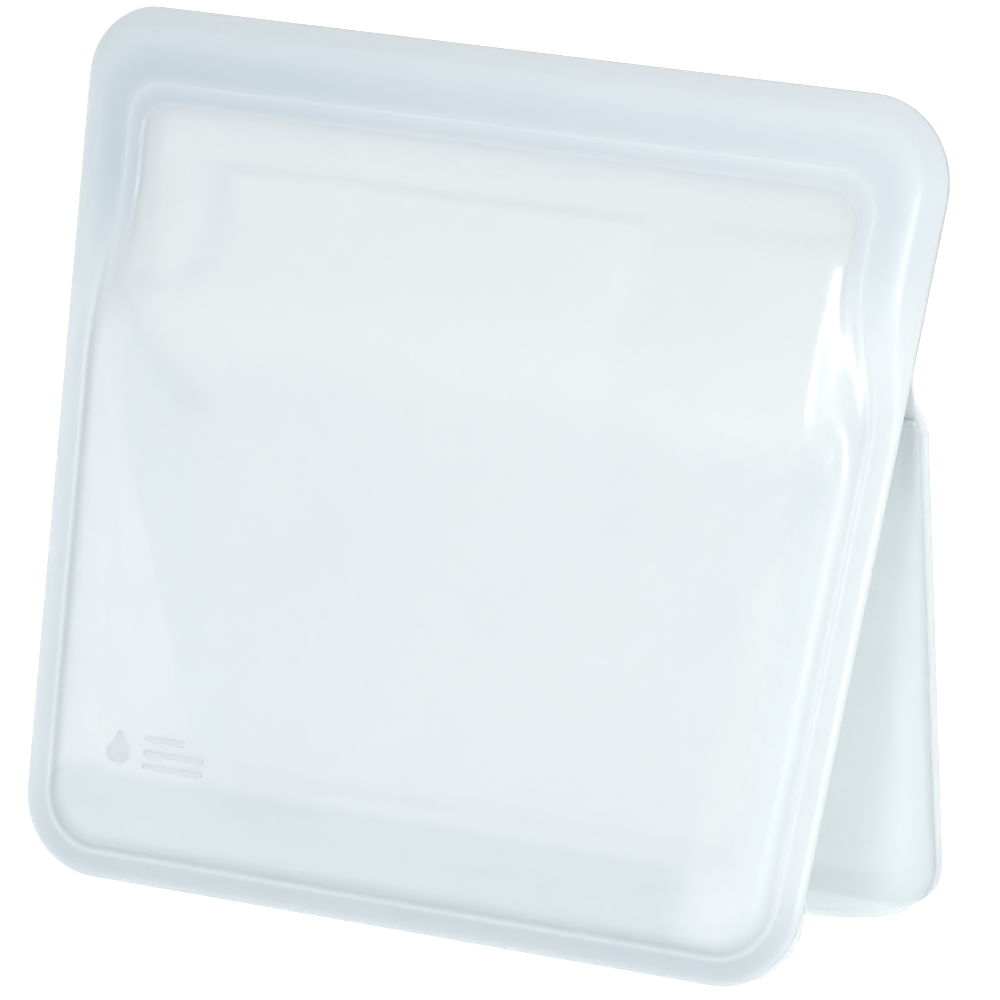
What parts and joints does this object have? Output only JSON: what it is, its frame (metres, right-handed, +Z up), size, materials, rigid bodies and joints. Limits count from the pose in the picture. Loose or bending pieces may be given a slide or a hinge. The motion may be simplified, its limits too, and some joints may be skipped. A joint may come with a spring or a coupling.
{
  "type": "reusable silicone bag",
  "caption": "Stand-up silicone storage bag with a press seal round its mouth, a leaning front sheet, a back leg and a folded gusset base.",
  "frame": {"origin": "on the ground, in the middle of the footprint of the two feet", "axes": "+X across the bag, +Y from the leaning front sheet to the back leg, +Z up"},
  "size_m": [0.2014, 0.0785, 0.1785],
  "materials": {
    "sheet": "translucent satin",
    "rim": "translucent satin",
    "seal": "translucent satin",
    "gusset": "translucent satin"
  },
  "bodies": {
    "front_leg": {"front_panel_lower": "sheet", "front_rim": "rim", "side_seam_left": "rim", "side_seam_right": "rim", "hinge_band": "sheet", "care_mark": "rim", "web_left_front": "gusset", "web_right_front": "gusset"},
    "front_flap": {"front_panel_upper": "sheet", "front_lip": "seal", "seal_rib": "seal"},
    "back_flap": {"back_panel_upper": "sheet", "back_lip": "seal", "seal_channel": "rim"},
    "back_leg": {"back_panel_lower": "sheet", "back_rim": "rim", "web_left_back": "gusset", "web_right_back": "gusset"},
    "floor_front": {"floor_front": "gusset"},
    "floor_back": {"floor_back": "gusset"}
  },
  "joints": [
    {"name": "back_leg_fold", "type": "hinge", "parent": "front_leg", "child": "back_leg", "pos_m": [0, -0.00128, 0.12612], "axis": [-1, 0, 0], "range_deg": [0, 22], "stiffness_Nm_per_rad": 0.05, "springref_deg": -17.19, "deforming": ["web_left_front", "web_right_front", "web_left_back", "web_right_back"]},
    {"name": "front_flap_open", "type": "hinge", "parent": "front_leg", "child": "front_flap", "pos_m": [0, -0.00921, 0.13298], "axis": [1, 0, 0], "range_deg": [0, 60], "stiffness_Nm_per_rad": 0.05, "springref_deg": -17.19},
    {"name": "back_flap_open", "type": "hinge", "parent": "front_leg", "child": "back_flap", "pos_m": [0, -0.00009, 0.13072], "axis": [-1, 0, 0], "range_deg": [0, 45], "stiffness_Nm_per_rad": 0.05, "springref_deg": -17.19},
    {"name": "floor_front_fold", "type": "hinge", "parent": "front_leg", "child": "floor_front", "pos_m": [0, -0.0351, 0.0034], "axis": [1, 0, 0], "range_deg": [0, 42]},
    {"name": "floor_back_fold", "type": "hinge", "parent": "back_leg", "child": "floor_back", "pos_m": [0, 0.0349, 0.00322], "axis": [-1, 0, 0], "range_deg": [0, 45]}
  ],
  "couplings": [
    {"joint": "floor_front_fold", "follows": "back_leg_fold", "ratio": 1.876},
    {"joint": "floor_back_fold", "follows": "back_leg_fold", "ratio": 2.012}
  ]
}
